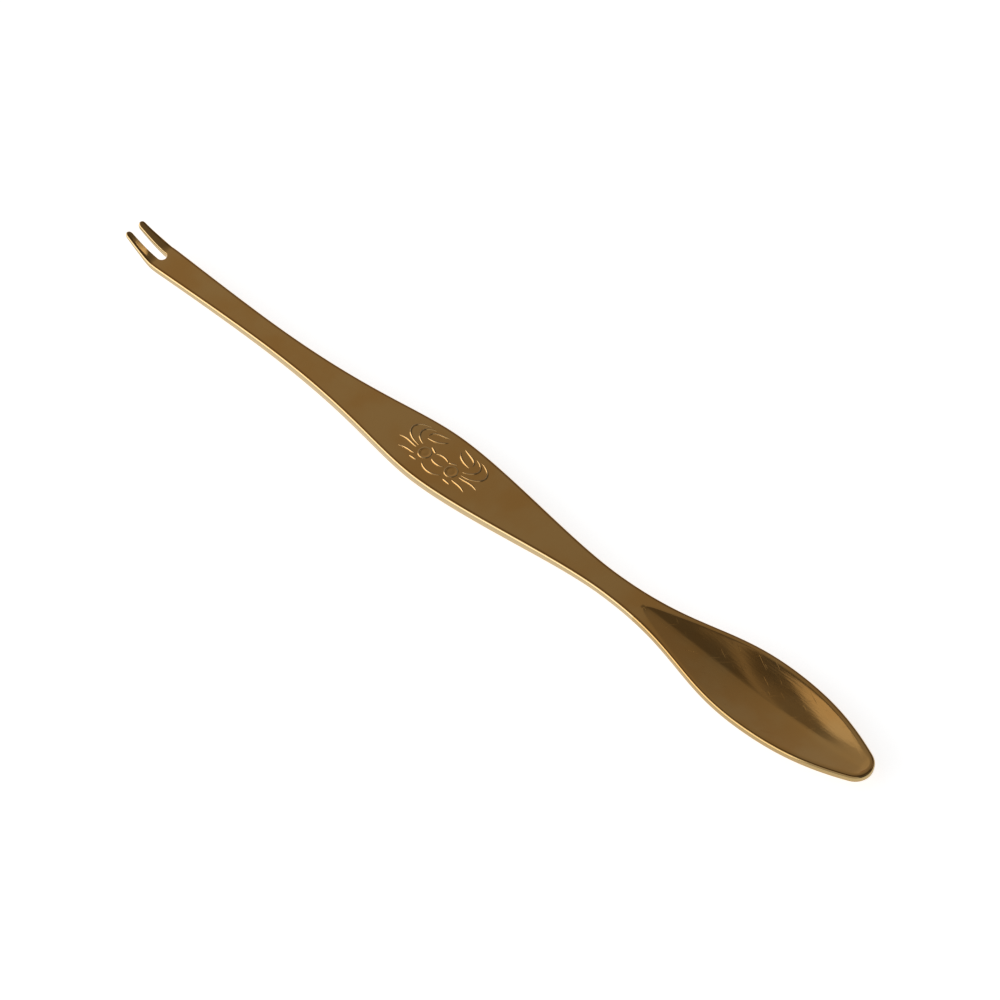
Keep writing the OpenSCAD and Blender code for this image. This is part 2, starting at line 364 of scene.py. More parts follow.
def mapped_grid(
    bm: bmesh.types.BMesh,
    rows: Sequence[Sequence[Vector]],
    tags: Sequence[int] = (),
    marks: Sequence[float] = (),
) -> None:
    """Adds a grid of faces whose points are moved to the given places.

    Args:
        bm: Mesh that takes the grid.
        rows: Points of each row, all rows with as many points.
        tags: Zone of the faces that follow each row, where the mesh keeps zones.
        marks: Value of each column in the edge layer, where the mesh keeps one.
    """
    row_count, column_count = len(rows), len(rows[0])
    made = bmesh.ops.create_grid(bm, x_segments=row_count - 1, y_segments=column_count - 1, size=GRID_HALF)
    edge_layer = bm.verts.layers.float.get(EDGE_LAYER)
    row_of = {}
    for vert in made["verts"]:
        row = round((vert.co.x + GRID_HALF) * (row_count - 1))
        column = round((vert.co.y + GRID_HALF) * (column_count - 1))
        vert.co = rows[row][column]
        row_of[vert] = row
        if marks:
            vert[edge_layer] = marks[column]
    if not tags:
        return
    zone_layer = bm.faces.layers.int.get(ZONE_LAYER)
    faces = {face for vert in made["verts"] for face in vert.link_faces}
    for face in faces:
        face[zone_layer] = tags[min(row_of[vert] for vert in face.verts)]


@dataclass
class StripBody:
    """The strip of tines, shank, handle, neck and spoon, modelled as one skin and then cut at its zones."""

    sizes: ForkSizes
    outline: Outline
    inside_columns: int = 24
    outside_columns: int = 6
    edge_columns: int = 8
    under_columns: int = 16
    hold_share: float = 0.04
    tine_tip_rows: int = 9
    tine_rows: int = 26
    slot_root_rows: int = 12
    shank_rows: int = 34
    handle_rows: int = 110
    neck_rows: int = 14
    opening_rows: int = 30
    rise_rows: int = 26
    fall_rows: int = 32
    bowl_tip_rows: int = 18
    inside_crowding: float = 1.5
    opening_crowding: int = 2

    def slot_edge_r(self, x: float) -> float:
        """Rounding of the slot's edges at x, which is the outer edge's at the tips of the tines."""
        s = self.sizes
        return s.edge_r + (s.slot_edge_r - s.edge_r) * smooth_step(x, s.tine_tip_r, s.tine_root_x)

    def tine_places(self) -> list[float]:
        """Places of the rows along a tine, from its round end to one step short of its root."""
        start, end = self.sizes.tine_tip_r, self.sizes.tine_root_x
        return [start + (end - start) * i / self.tine_rows for i in range(self.tine_rows)]

    def flat_station(self, x: float, inner_y: float, zone: Zone) -> Station:
        """Row across the level metal at x, from inner_y to the outline, before the given zone."""
        s = self.sizes
        edge, way = self.outline.at(x)
        centre = Vector((x, inner_y))
        lip = centre.lerp(edge - way * s.edge_r, s.hollow_start_share)
        return Station(centre, lip, edge, way, self.outline.thickness(x), zone)

    def bowl_station(self, edge: Vector, way: Vector) -> Station:
        """Row across the bowl, with the hollow's depth and the underside's swell.

        Args:
            edge: Point of the outline.
            way: Direction in which the edge faces.

        Returns:
            The row.
        """
        s = self.sizes
        inner = edge - way * s.hollow_inset
        full = max(inner.y, 0.0)
        left = 1.0 - max(0.0, min(1.0, (edge.x - s.hollow_x) / s.hollow_open_len))
        opened = math.sqrt(1.0 - left * left)
        fill = full * opened / (s.bowl_w / 2 - s.hollow_inset)
        depth = s.hollow_depth * fill**s.hollow_power
        bulge = depth * (s.hollow_depth + s.bowl_wall - s.neck_t) / s.hollow_depth
        lip = Vector((inner.x, full * max(s.hollow_start_share, opened)))
        return Station(Vector((inner.x, 0.0)), lip, edge, way, s.neck_t, Zone.BOWL, depth, bulge)

    def stations(self) -> list[Station]:
        """Rows of the outer half skin, from the tip of a tine to the tip of the spoon."""
        s = self.sizes
        rows: list[Station] = []
        tine_middle = Vector((s.tine_tip_r, s.tine_middle_y))
        for turn in quarter_turns(self.tine_tip_rows):
            way = Vector((-math.cos(turn), math.sin(turn)))
            edge = tine_middle + way * s.tine_tip_r
            inner = tine_middle + Vector((way.x, -way.y)) * (s.tine_tip_r - s.edge_r)
            outer = edge - way * s.edge_r
            lip = inner.lerp(outer, s.hollow_start_share)
            rows.append(Station(inner, lip, edge, way, self.outline.thickness(edge.x), Zone.TINES))
        for x in self.tine_places():
            rows.append(self.flat_station(x, s.slot_r + self.slot_edge_r(x), Zone.TINES))
        inner_y = s.slot_r + s.slot_edge_r
        for turn in quarter_turns(self.slot_root_rows):
            x = s.tine_root_x + inner_y * math.sin(turn)
            rows.append(self.flat_station(x, inner_y * math.cos(turn), Zone.SHANK))
        start = s.tine_root_x + inner_y
        for zone, end, count in (
            (Zone.SHANK, s.waist_x, self.shank_rows),
            (Zone.HANDLE, s.neck_x, self.handle_rows),
            (Zone.NECK, s.hollow_x, self.neck_rows),
        ):
            rows += [self.flat_station(start + (end - start) * i / count, 0.0, zone) for i in range(count)]
            start = end
        for i in range(self.opening_rows):
            x = s.hollow_x + s.hollow_open_len * (i / self.opening_rows) ** self.opening_crowding
            rows.append(self.bowl_station(*self.outline.at(x)))
        start = s.hollow_x + s.hollow_open_len
        for i in range(self.rise_rows):
            rows.append(self.bowl_station(*self.outline.at(start + (s.bowl_x - start) * i / self.rise_rows)))
        fall, tip = self.outline.flanks()[-1], self.outline.tip_curve()
        for curve, count in ((fall, self.fall_rows), (tip, self.bowl_tip_rows)):
            ts = [i / count for i in range(count)]
            rows += [self.bowl_station(curve.at(t), side_way(curve.way(t))) for t in ts]
        rows.append(self.bowl_station(tip.at(1.0), Vector((1.0, 0.0))))
        return rows

    def hollow_z(self, station: Station, share: float) -> float:
        """Height of the upper side at a share of the way from the middle line to the hollow's lip.

        The hollow is a rounded V across the spoon, and a soft lip joins it to the level rim.
        """
        if station.depth <= 0.0:
            return 0.0
        below = station.depth * (1.0 - share**self.sizes.hollow_round)
        soft = self.sizes.lip_soft * min(1.0, station.depth)
        return -(below + math.sqrt(below * below + soft * soft)) / 2

    def edge_points(
        self,
        edge: Vector,
        way: Vector,
        radius: float,
        thick: float,
        lean: float = 0.0,
    ) -> list[Vector]:
        """Edge from the upper side to the underside, with a nearly flat bevel above and a rounding below.

        Args:
            edge: Point of the outline.
            way: Direction in which the edge faces.
            radius: Width of the bevel, and rounding of the lower corner.
            thick: Thickness of the metal.
            lean: Angle by which the lower rounding ends short of level, in radians.

        Returns:
            Points with the upper side at height 0.
        """
        points = []
        power = 2 / self.sizes.edge_round
        drop = min(radius * self.sizes.edge_drop_share, thick - radius - self.sizes.least_wall)
        for i in range(self.edge_columns + 1):
            turn = math.pi / 2 * (1 - i / self.edge_columns)
            place = edge - way * radius * (1 - max(0.0, math.cos(turn)) ** power)
            points.append(Vector((place.x, place.y, -drop * (1 - math.sin(turn) ** power))))
        for i in range(self.edge_columns + 1):
            turn = (math.pi / 2 - lean) * i / self.edge_columns
            place = edge - way * radius * (1 - math.cos(turn))
            points.append(Vector((place.x, place.y, -thick + radius * (1 - math.sin(turn)))))
        return points

    def row_points(self, station: Station) -> list[Vector]:
        """Points across the half skin, from the upper middle round the edge to the lower middle."""
        s = self.sizes
        top_end = station.edge - station.way * s.edge_r
        points = []
        shares = [0.0, self.hold_share / 2]
        for i in range(1, self.inside_columns):
            shares.append(1 - (1 - i / self.inside_columns) ** self.inside_crowding)
        for share in shares:
            place = station.centre.lerp(station.lip, share)
            points.append(Vector((place.x, place.y, self.hollow_z(station, share))))
        lip_y = max(station.lip.y, s.edge_r)
        reach = (top_end - station.lip).length
        # The last column of the upper side stands shade_line_w short of the edge; the painted shade line fades
        # in across that gap.
        hold = 1 - min(s.shade_line_w, reach / 2) / reach if reach > 0.0 else 1.0
        for share in [hold * i / self.outside_columns for i in range(self.outside_columns + 1)]:
            place = station.lip.lerp(top_end, share)
            past = 1.0 + (place - station.lip).length / lip_y
            points.append(Vector((place.x, place.y, self.hollow_z(station, past))))
        lean = math.atan(s.hollow_round * station.bulge / max(station.edge.y, s.edge_r))
        edge = self.edge_points(station.edge, station.way, s.edge_r, station.thick, lean)
        points += edge
        foot, low_z = edge[-1], -station.thick - station.bulge
        for i in range(self.under_columns):
            share = 1 - (1 + i) / self.under_columns
            if i == 0 and station.bulge == 0.0:
                share = 1 - self.hold_share
            place = station.centre.lerp(foot.xy, share)
            points.append(Vector((place.x, place.y, low_z + (foot.z - low_z) * share**s.hollow_round)))
        return points

    def edge_marks(self) -> list[float]:
        """Values across an edge: EDGE_START at its upper and lower border, and 1 on the wall between."""
        # These values place the painted shade line at EDGE_START and the painted highlight tint, full on the
        # wall.
        bevel = [EDGE_START + (1 - EDGE_START) * i / self.edge_columns for i in range(self.edge_columns + 1)]
        return bevel + bevel[::-1]

    def row_marks(self) -> list[float]:
        """Values of the edge layer across a row of the half skin."""
        upper = [0.0] * (self.inside_columns + 1 + self.outside_columns + 1)
        return upper + self.edge_marks() + [0.0] * self.under_columns

    def slot_rows(self) -> list[list[Vector]]:
        """Rows of points down the slot's wall on the +Y side, from the tine's tip to the slot's root."""
        s = self.sizes
        rows = []
        tine_middle = Vector((s.tine_tip_r, s.tine_middle_y))
        for turn in quarter_turns(self.tine_tip_rows):
            way = Vector((-math.cos(turn), -math.sin(turn)))
            wall = tine_middle + way * s.tine_tip_r
            rows.append((wall, way, wall.x))
        rows += [(Vector((x, s.slot_r)), Vector((0.0, -1.0)), x) for x in self.tine_places()]
        for turn in quarter_turns(self.slot_root_rows) + [math.pi / 2]:
            way = Vector((-math.sin(turn), -math.cos(turn)))
            inset_x = s.tine_root_x + (s.slot_r + s.slot_edge_r) * math.sin(turn)
            rows.append((Vector((s.tine_root_x, 0.0)) - way * s.slot_r, way, inset_x))
        return [
            self.edge_points(wall, way, self.slot_edge_r(wall.x), self.outline.thickness(station_x))
            for wall, way, station_x in rows
        ]

    def skin(self) -> bmesh.types.BMesh:
        """Builds the closed skin of the whole strip, with its zones marked on its faces.

        Returns:
            The mesh, placed in the model's frame in metres.
        """
        s = self.sizes
        bm = bmesh.new()
        bm.faces.layers.int.new(ZONE_LAYER)
        bm.verts.layers.float.new(EDGE_LAYER)
        stations = self.stations()
        zones = [station.zone.value for station in stations]
        mapped_grid(bm, [self.row_points(station) for station in stations], zones, self.row_marks())
        slot_zones = zones[: self.tine_tip_rows + self.tine_rows + self.slot_root_rows]
        mapped_grid(bm, self.slot_rows(), slot_zones, self.edge_marks())
        for vert in bm.verts:
            vert.co.z += self.outline.rise(vert.co.x, vert.co.y)
        geometry = bm.verts[:] + bm.edges[:] + bm.faces[:]
        bmesh.ops.mirror(bm, geom=geometry, axis="Y", merge_dist=MERGE_MM)
        bmesh.ops.remove_doubles(bm, verts=bm.verts, dist=MERGE_MM)
        bmesh.ops.transform(bm, matrix=placing(s), verts=bm.verts)
        bmesh.ops.recalc_face_normals(bm, faces=bm.faces)
        bm.normal_update()
        normal_layer = bm.verts.layers.float_vector.new(NORMAL_LAYER)
        for vert in bm.verts:
            vert[normal_layer] = vert.normal
        return bm

    def cut_out(self, skin: bmesh.types.BMesh, zone: Zone, side: int = 0) -> bmesh.types.BMesh:
        """Takes one zone out of the skin and closes its ends.

        Args:
            skin: The whole skin, which stays.
            zone: Zone to keep.
            side: 1 to keep what lies on the +Y side, -1 for the -Y side, 0 for both.

        Returns:
            The closed mesh of the zone.
        """
        bm = skin.copy()
        zone_layer = bm.faces.layers.int.get(ZONE_LAYER)
        rest = [
            face
            for face in bm.faces
            if face[zone_layer] != zone.value or side * face.calc_center_median().y < 0.0
        ]
        bmesh.ops.delete(bm, geom=rest, context="FACES")
        open_edges = [edge for edge in bm.edges if edge.is_boundary]
        bmesh.ops.holes_fill(bm, edges=open_edges, sides=0)
        bmesh.ops.recalc_face_normals(bm, faces=bm.faces)
        return bm

    def build(self, finish: "MetalFinish", bowl_finish: "MetalFinish") -> None:
        """Builds a piece for each zone of the strip.

        Args:
            finish: Finish of everything but the bowl.
            bowl_finish: Finish of the bowl.
        """
        skin = self.skin()
        metal, bowl_metal = finish.build(), bowl_finish.build()
        for name, node, zone, side, material in (
            ("tine_left", "left_tine", Zone.TINES, 1, metal),
            ("tine_right", "right_tine", Zone.TINES, -1, metal),
            ("shank", "fork_shank", Zone.SHANK, 0, metal),
            ("handle_leaf", "handle", Zone.HANDLE, 0, metal),
            ("neck", "spoon_neck", Zone.NECK, 0, metal),
            ("bowl", "spoon_bowl", Zone.BOWL, 0, bowl_metal),
        ):
            piece = finish_mesh(self.cut_out(skin, zone, side), name, material)
            keep_skin_normals(piece.data)
            hand_over(piece, node)
        skin.free()


def keep_skin_normals(mesh: bpy.types.Mesh) -> None:
    """Shades a zone with the whole skin's normals, so that no seam shows where it was cut out.

    The caps, the only faces with more than four corners, stay flat.
    """
    stored = mesh.attributes[NORMAL_LAYER].data
    normals = []
    for face in mesh.polygons:
        is_cap = len(face.vertices) > QUAD_CORNERS
        normals += [face.normal if is_cap else stored[vert].vector for vert in face.vertices]
    mesh.normals_split_custom_set([tuple(normal) for normal in normals])
    mesh.attributes.remove(mesh.attributes[NORMAL_LAYER])


@dataclass
class CrabLines:
    """Crab in raised lines. Its places are shares of half its width, with its claws towards +Y."""

    sizes: ForkSizes
    width: float = 20.0
    shift: float = 0.4
    foot_w: float = 0.52
    height: float = 0.19
    sink: float = 0.05
    dome_height: float = 0.03
    lobe_centre_share: tuple[float, float] = (0.36, -0.095)
    lobe_r_share: float = 0.135
    lobe_feet: tuple[float, float] = (0.6, 0.2)
    lobe_height: float = 0.14
    lobe_fall: float = 0.75
    line_rows: int = 20
    top_columns: int = 12
    lobe_steps: int = 56
    dome_columns: int = 6
    side_line_shares: tuple = (
        ((0.57, -0.035), (1.04, -0.01), (1.19, 0.37), (0.68, 0.475)),
        ((0.54, 0.045), (0.83, 0.13), (0.9, 0.39), (0.54, 0.47)),
        ((0.595, 0.27), (0.59, 0.45), (0.4, 0.44), (0.2, 0.505)),
        ((0.57, 0.215), (0.39, 0.23), (0.24, 0.29), (0.17, 0.41)),
        ((0.35, 0.105), (0.29, 0.085), (0.23, 0.055), (0.185, 0.035)),
        ((0.58, -0.1), (0.74, -0.095), (0.89, -0.03), (1.05, -0.11)),
        ((0.51, -0.245), (0.64, -0.26), (0.76, -0.23), (0.89, -0.315)),
        ((0.36, -0.34), (0.42, -0.35), (0.48, -0.34), (0.55, -0.36)),
    )
    middle_line_shares: tuple = (
        ((-0.155, 0.035), (-0.08, 0.095), (0.08, 0.095), (0.155, 0.035)),
        ((-0.165, -0.105), (-0.1, -0.17), (0.1, -0.17), (0.165, -0.105)),
        ((-0.265, -0.295), (-0.13, -0.44), (0.13, -0.44), (0.265, -0.295)),
    )

    def bell(self, across: float) -> float:
        """Share of a line's full height, from 1 on its crest, at across 0, to 0 at its feet, at 1 and -1."""
        return (1.0 + math.cos(math.pi * across)) / 2

    def line(self, bm: bmesh.types.BMesh, shares: Sequence[tuple[float, float]]) -> None:
        """Adds a raised line that thins out to a point at both ends.

        Args:
            bm: Mesh that takes it.
            shares: Four control points of its curve.
        """
        curve = Curve(tuple(Vector(share) * self.width / 2 for share in shares))
        rows = []
        for i in range(self.line_rows + 1):
            t = (1 - math.cos(math.pi * i / self.line_rows)) / 2
            full = math.sin(math.pi * i / self.line_rows)
            place, side = curve.at(t), side_way(curve.way(t))
            row = []
            for k in range(self.top_columns + 1):
                across = 1 - 2 * k / self.top_columns
                foot = place + side * across * full * self.foot_w / 2
                row.append(Vector((foot.x, foot.y, full * self.height * self.bell(across))))
            for across in (-1.0, 1.0):
                foot = place + side * across * full * self.foot_w / 2
                row.append(Vector((foot.x, foot.y, -full * self.sink)))
            rows.append(row + row[:1])
        # The crests carry the painted highlight tint.
        crests = [self.bell(1 - 2 * k / self.top_columns) for k in range(self.top_columns + 1)]
        unmarked = [0.0] * (len(rows[0]) - len(crests))
        mapped_grid(bm, rows, marks=crests + unmarked)

    def lobe(self, bm: bmesh.types.BMesh) -> None:
        """Adds a round lobe: a raised ring round a low dome, both lower towards the claws."""
        others = len(bm.verts)
        centre = Vector(self.lobe_centre_share) * self.width / 2
        ring_r = self.lobe_r_share * self.width / 2
        inner_r = ring_r - self.lobe_feet[0]
        profile = [(0.0, -self.sink, 0.0)]
        for k in range(self.dome_columns):
            across = k / self.dome_columns
            profile.append((inner_r * across, self.dome_height * (1.0 - across**2), 0.0))
        for k in range(self.top_columns + 1):
            across = 2 * k / self.top_columns - 1
            foot = self.lobe_feet[0] if across < 0.0 else self.lobe_feet[1]
            crest = self.bell(across)
            # Painted highlight tint only on the ring's outer flank, strongest at its crest.
            highlight_tint = 0.0 if across < 0.0 else crest
            profile.append((ring_r + across * foot, self.lobe_height * crest, highlight_tint))
        profile.append((profile[-1][0], -self.sink, 0.0))
        edge_layer = bm.verts.layers.float.get(EDGE_LAYER)
        verts = []
        for away, up, highlight_tint in profile:
            vert = bm.verts.new((centre.x + away, centre.y, up))
            vert[edge_layer] = highlight_tint
            verts.append(vert)
        edges = [bm.edges.new((start, end)) for start, end in zip(verts[1:], verts[2:] + verts[:1])]
        bmesh.ops.spin(
            bm,
            geom=verts + edges,
            cent=(centre.x, centre.y, 0.0),
            axis=(0.0, 0.0, 1.0),
            angle=2 * math.pi,
            steps=self.lobe_steps,
            use_merge=True,
        )
        outer_r = ring_r + self.lobe_feet[1]
        bm.verts.ensure_lookup_table()
        for vert in bm.verts[others:]:
            towards_claws = (1.0 + (vert.co.y - centre.y) / outer_r) / 2
            vert.co.z *= 1.0 - self.lobe_fall * towards_claws

    def build(self, finish: "MetalFinish") -> None:
        """Builds the crab as one piece of separate closed lines.

        Args:
            finish: Finish of the lines.
        """
        bm = bmesh.new()
        bm.verts.layers.float.new(EDGE_LAYER)
        for shares in self.side_line_shares:
            self.line(bm, shares)
        self.lobe(bm)
        geometry = bm.verts[:] + bm.edges[:] + bm.faces[:]
        bmesh.ops.mirror(bm, geom=geometry, axis="X", merge_dist=0.0)
        for shares in self.middle_line_shares:
            self.line(bm, shares)
        bmesh.ops.remove_doubles(bm, verts=bm.verts, dist=MERGE_MM)
        bmesh.ops.translate(bm, vec=(self.sizes.belly_x + self.shift, 0.0, 0.0), verts=bm.verts)
        bmesh.ops.transform(bm, matrix=placing(self.sizes), verts=bm.verts)
        bmesh.ops.recalc_face_normals(bm, faces=bm.faces)
        hand_over(finish_mesh(bm, "crab_lines", finish.build()), "crab_emblem")


def placing(sizes: ForkSizes) -> Matrix:
    """Turns places in millimetres from the tips of the tines into metres in the model's frame."""
    shift = Vector((-sizes.overall_len / 2, 0.0, sizes.upper_z))
    return Matrix.Scale(MM, 4) @ Matrix.Translation(shift)


def finish_mesh(bm: bmesh.types.BMesh, name: str, material: bpy.types.Material) -> bpy.types.Object:
    """Turns a mesh under construction into an object at the origin.

    Args:
        bm: Mesh, which is freed.
        name: Name of the piece.
        material: Its only material.

    Returns:
        The piece.
    """
    for face in bm.faces:
        face.smooth = True
    mesh = bpy.data.meshes.new(name)
    bm.to_mesh(mesh)
    bm.free()
    mesh.materials.append(material)
    piece = bpy.data.objects.new(name, mesh)
    bpy.context.scene.collection.objects.link(piece)
    return piece


def hand_over(piece: bpy.types.Object, *nodes: str) -> None:
    """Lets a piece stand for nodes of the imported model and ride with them."""
    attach(piece, ROOT_BODY)
    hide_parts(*nodes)
    LOG.info("%s: %d faces, stands for %s", piece.name, len(piece.data.polygons), ", ".join(nodes))


Socket = bpy.types.NodeSocket


class Mix(Enum):
    """What a mix node blends. The value ends the identifiers of its sockets."""

    FLOAT = "Float"
    RGBA = "Color"


@dataclass
class Wiring:
    """Adds nodes to a tree and links them, so that a finish reads as a list of steps."""

    tree: bpy.types.NodeTree

    def node(self, kind: str, inputs: dict[str | int, object], **settings: object) -> bpy.types.Node:
        """Adds a node.

        Args:
            kind: Type of the node.
            inputs: For each input, the socket to link to it or its value.
            settings: Settings of the node itself.

        Returns:
            The node.
        """
        node = self.tree.nodes.new(kind)
        for name, value in settings.items():
            setattr(node, name, value)
        for name, value in inputs.items():
            if isinstance(value, Socket):
                self.tree.links.new(value, node.inputs[name])
            else:
                node.inputs[name].default_value = value
        return node

    def math(self, operation: str, first: object, second: object, clamp: bool = False) -> Socket:
        """Result of a sum on two sockets or numbers."""
        node = self.node("ShaderNodeMath", {0: first, 1: second}, operation=operation, use_clamp=clamp)
        return node.outputs["Value"]

    def ramp(self, value: Socket, low: float, high: float, start: object = 0.0, end: object = 1.0) -> Socket:
        """Smooth change from start at low to end at high."""
        inputs = {"Value": value, "From Min": low, "From Max": high, "To Min": start, "To Max": end}
        return self.node("ShaderNodeMapRange", inputs, interpolation_type="SMOOTHSTEP").outputs["Result"]

    def blend(self, kind: Mix, share: object, first: object, second: object) -> Socket:
        """Changes from one number or colour at share 0 to another at share 1."""
        node = self.node("ShaderNodeMix", {}, data_type=kind.name)
        values = {"Factor_Float": share, f"A_{kind.value}": first, f"B_{kind.value}": second}
        for socket in node.inputs:
            value = values.get(socket.identifier)
            if isinstance(value, Socket):
                self.tree.links.new(value, socket)
            elif value is not None:
                socket.default_value = value
        return next(socket for socket in node.outputs if socket.enabled)

    def noise(
        self,
        place: Socket,
        scale: tuple[float, float, float],
        turn_deg: float,
        detail: float,
    ) -> Socket:
        """Noise with its own number of features per metre along each axis, turned about the vertical."""
        turn = (0.0, 0.0, math.radians(turn_deg))
        turned = self.node("ShaderNodeMapping", {"Vector": place, "Rotation": turn}).outputs["Vector"]
        stretched = self.node("ShaderNodeVectorMath", {0: turned, 1: scale}, operation="MULTIPLY")
        inputs = {"Vector": stretched.outputs["Vector"], "Scale": 1.0, "Detail": detail}
        return self.node("ShaderNodeTexNoise", inputs).outputs["Fac"]


@dataclass(frozen=True)
class PolishGroup:
    """Shared node group of hand-polished metal: cloudy tint, grain, hairline scratches, a painted shade line
    along the borders of edges and a painted highlight tint on edges and crests.

    Attributes:
        name: Name of the group.
        cloud_scale: Clouds of tint per metre.
        cloud_detail: Finer layers in the clouds.
        grain_scale: Streaks of the polishing grain per metre, along and across the fork.
        grain_detail: Finer layers in the grain.
        scratch_scale: Scratches per metre, along and across their own direction.
        scratch_detail: Finer layers in the scratches.
        scratch_turns_deg: Directions of the scratches.
        scratch_limits: Noise at which a scratch starts and is full.
        shade_line_place: Value of the edge layer in the middle of the painted shade line, where an edge meets
            the upper side or the underside.
        shade_line_width: Change of that value over which the painted shade line fades on each side.
        highlight_tint_limits: Values of the edge layer at which the painted highlight tint starts and is full.
    """

    name: str = "hand_polish"
    cloud_scale: float = 95.0
    cloud_detail: float = 3.0
    grain_scale: tuple[float, float, float] = (250.0, 2600.0, 2600.0)
    grain_detail: float = 2.0
    scratch_scale: tuple[float, float, float] = (110.0, 3800.0, 900.0)
    scratch_detail: float = 1.0
    scratch_turns_deg: tuple[float, ...] = (24.0, -37.0)
    scratch_limits: tuple[float, float] = (0.7, 0.78)
    shade_line_place: float = EDGE_START
    shade_line_width: float = 0.2
    highlight_tint_limits: tuple[float, float] = (0.3, 0.6)

    def get(self) -> bpy.types.NodeTree:
        """Gives the group, which is built the first time.

        Returns:
            The group, with the outputs Tint, Rough and Height, and two more: the painted shade line along the
            borders of edges and the painted highlight tint on edges and crests.
        """
        if self.name in bpy.data.node_groups:
            return bpy.data.node_groups[self.name]
        group = bpy.data.node_groups.new(self.name, "ShaderNodeTree")
        for depth in ("Grain", "Scratches"):
            group.interface.new_socket(depth, in_out="INPUT", socket_type="NodeSocketFloat")
        for output in ("Tint", "Line", "HighlightTint", "Rough", "Height"):
            group.interface.new_socket(output, in_out="OUTPUT", socket_type="NodeSocketFloat")
        wiring = Wiring(group)
        source = wiring.node("NodeGroupInput", {})
        place = wiring.node("ShaderNodeTexCoord", {}).outputs["Object"]
        edge = wiring.node("ShaderNodeAttribute", {}, attribute_name=EDGE_LAYER).outputs["Fac"]
        clouds = wiring.noise(place, (self.cloud_scale,) * 3, 0.0, self.cloud_detail)
        grain = wiring.noise(place, self.grain_scale, 0.0, self.grain_detail)
        scratches: object = 0.0
        for turn in self.scratch_turns_deg:
            streaks = wiring.noise(place, self.scratch_scale, turn, self.scratch_detail)
            lines = wiring.ramp(streaks, *self.scratch_limits)
            scratches = wiring.math("MAXIMUM", scratches, lines)
        scratches = wiring.math("MULTIPLY", scratches, source.outputs["Scratches"])
        # Painted shade: a dark line where the edge layer is near shade_line_place. Painted highlight: a pale
        # tint that grows with the edge layer.
        away = wiring.math("ABSOLUTE", wiring.math("SUBTRACT", edge, self.shade_line_place), 0.0)
        grain_part = wiring.math("MULTIPLY", wiring.math("SUBTRACT", grain, 0.5), source.outputs["Grain"])
        wiring.node(
            "NodeGroupOutput",
            {
                "Tint": clouds,
                "Line": wiring.ramp(away, 0.0, self.shade_line_width, 1.0, 0.0),
                "HighlightTint": wiring.ramp(edge, *self.highlight_tint_limits),
                "Rough": wiring.math("ADD", grain_part, scratches),
                "Height": wiring.math("SUBTRACT", grain_part, scratches),
            },
        )
        return group


@dataclass(frozen=True)
class MetalFinish:
    """Polished gold-brown metal, with a painted shade line along the borders of its edges and a painted
    highlight tint on edges and crests.

    Attributes:
        name: Name of the material.
        brown: Colour of its browner clouds.
        gold: Colour of its more golden clouds.
        cloud_limits: Noise at which the metal is fully brown and fully golden.
        line: Colour of the painted shade line where its edges meet the upper side and the underside.
        shade_line_strength: Strength of that painted shade line.
        highlight_colour: Pale colour painted on edges and crests so that the lamps' highlights there look
            cream, a painted highlight tint.
        highlight_tint: How strongly that painted highlight tint covers the edges and crests, from 0 to 1.
        roughness: Roughness of a clean spot.
        rough_range: How much grain and scratches change the roughness.
        grain: Depth of the polishing grain, from 0 to 1.
        scratches: Depth of the scratches, from 0 to 1.
        relief: Height of the deepest marks in metres.
    """

    name: str
    brown: tuple[float, float, float] = (0.6, 0.305, 0.083)
    gold: tuple[float, float, float] = (0.62, 0.35, 0.115)
    cloud_limits: tuple[float, float] = (0.35, 0.65)
    line: tuple[float, float, float] = (0.22, 0.08, 0.012)
    shade_line_strength: float = 0.85
    highlight_colour: tuple[float, float, float] = (0.54, 0.41, 0.22)
    highlight_tint: float = 1.0
    roughness: float = 0.13
    rough_range: float = 0.12
    grain: float = 0.6
    scratches: float = 0.35
    relief: float = 2.5e-6

    def build(self) -> bpy.types.Material:
        """Makes the material, which reads the piece's Object coordinates and its edge layer."""
        material = bpy.data.materials.new(self.name)
        material.use_nodes = True
        wiring = Wiring(material.node_tree)
        depths = {"Grain": self.grain, "Scratches": self.scratches}
        polish = wiring.node("ShaderNodeGroup", depths, node_tree=PolishGroup().get())
        tint = wiring.ramp(polish.outputs["Tint"], *self.cloud_limits)
        clouds = wiring.blend(Mix.RGBA, tint, (*self.brown, 1.0), (*self.gold, 1.0))
        # Painted shade: a dark line mixed into the colour along the borders of the edges.
        line = wiring.math("MULTIPLY", polish.outputs["Line"], self.shade_line_strength)
        shade_lined = wiring.blend(Mix.RGBA, line, clouds, (*self.line, 1.0))
        # Painted highlight: a pale colour mixed in on edges and crests, so that the highlights there look
        # cream.
        highlight_tint = wiring.math("MULTIPLY", polish.outputs["HighlightTint"], self.highlight_tint)
        colour = wiring.blend(Mix.RGBA, highlight_tint, shade_lined, (*self.highlight_colour, 1.0))
        uneven = wiring.math("MULTIPLY", polish.outputs["Rough"], self.rough_range)
        bump = wiring.node("ShaderNodeBump", {"Height": polish.outputs["Height"], "Distance": self.relief})
        shader = wiring.tree.nodes["Principled BSDF"]
        shader.inputs["Metallic"].default_value = 1.0
        for name, socket in (
            ("Base Color", colour),
            ("Roughness", wiring.math("ADD", uneven, self.roughness, clamp=True)),
            ("Normal", bump.outputs["Normal"]),
        ):
            wiring.tree.links.new(socket, shader.inputs[name])
        return material


TO_SPOON = (1.0, 0.0, 0.0)
TO_TINES = (-1.0, 0.0, 0.0)
TO_LEFT = (0.0, 1.0, 0.0)
TO_RIGHT = (0.0, -1.0, 0.0)
DOWN = (0.0, 0.0, -1.0)


@dataclass(frozen=True)
class Card:
    """Part of the surroundings with its own brightness.

    Attributes:
        level: Brightness.
        borders: For each border, the direction into the card and how far along it the card starts.
        soft: Half of the width over which each border fades.
    """

    level: float
    borders: tuple[tuple[tuple[float, float, float], float], ...]
    soft: float = 0.05


